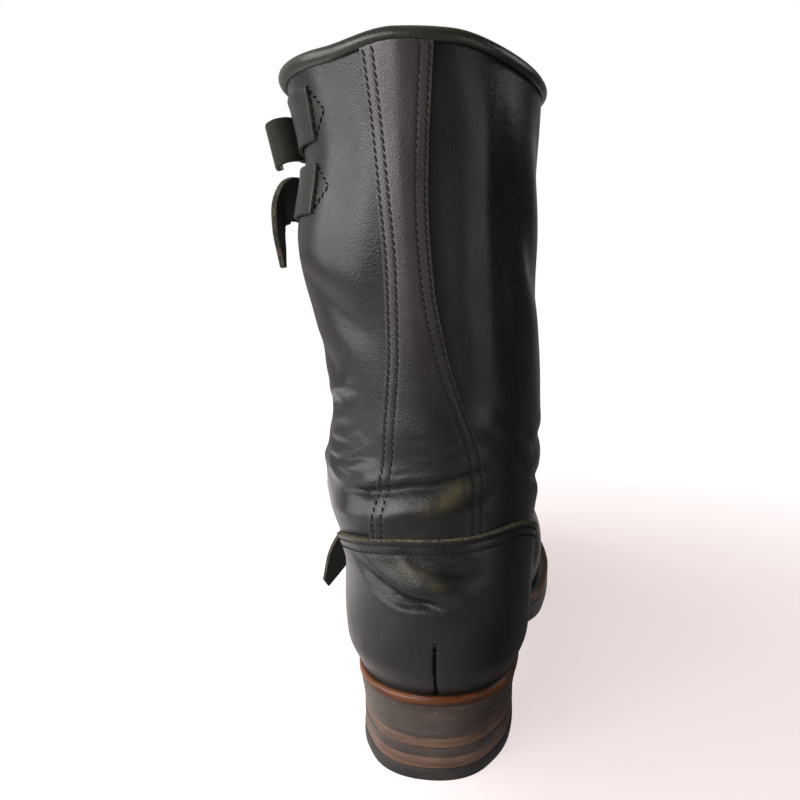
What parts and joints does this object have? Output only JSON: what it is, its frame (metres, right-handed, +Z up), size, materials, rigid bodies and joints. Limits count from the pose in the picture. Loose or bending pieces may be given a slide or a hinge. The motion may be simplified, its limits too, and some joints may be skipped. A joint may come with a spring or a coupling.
{
  "type": "engineer boot",
  "caption": "Left black leather engineer boot: tall hollow shaft, heel counter, back strip, buckled straps on shaft and instep, welted sole and stacked heel.",
  "frame": {"origin": "on the floor under the middle of the heel, on the bottom face of the heel's top lift", "axes": "+Y towards the toe, +Z up the shaft, +X towards the inner (medial) side of the foot"},
  "size_m": [0.1403, 0.3034, 0.2928],
  "materials": {
    "black_leather": "polished black, creased and worn",
    "welt_leather": "reddish brown, waxed",
    "edge_dye": "dark dyed edge, scuffed",
    "brown_lift": "bare brown stacked leather",
    "rubber": "matte black",
    "insole_leather": "plain tan",
    "steel": "worn satin metal"
  },
  "bodies": {
    "root": {"upper": "black_leather", "counter": "black_leather", "back_strip": "black_leather", "collar_binding": "black_leather", "shaft_strap_upper": "black_leather", "shaft_strap_upper_tab": "black_leather", "shaft_strap_upper_buckle": "steel", "shaft_strap_upper_prong": "steel", "shaft_strap_lower": "black_leather", "shaft_strap_lower_tab": "black_leather", "shaft_strap_lower_buckle": "steel", "shaft_strap_lower_prong": "steel", "instep_strap": "black_leather", "instep_strap_tab": "black_leather", "instep_strap_buckle": "steel", "instep_strap_prong": "steel", "insole": "insole_leather", "welt": "welt_leather", "midsole": "edge_dye", "outsole": "edge_dye", "heel_base": "edge_dye", "heel_lift_upper": "brown_lift", "heel_lift_middle": "edge_dye", "heel_lift_lower": "brown_lift", "heel_top_lift": "rubber"}
  },
  "joints": []
}
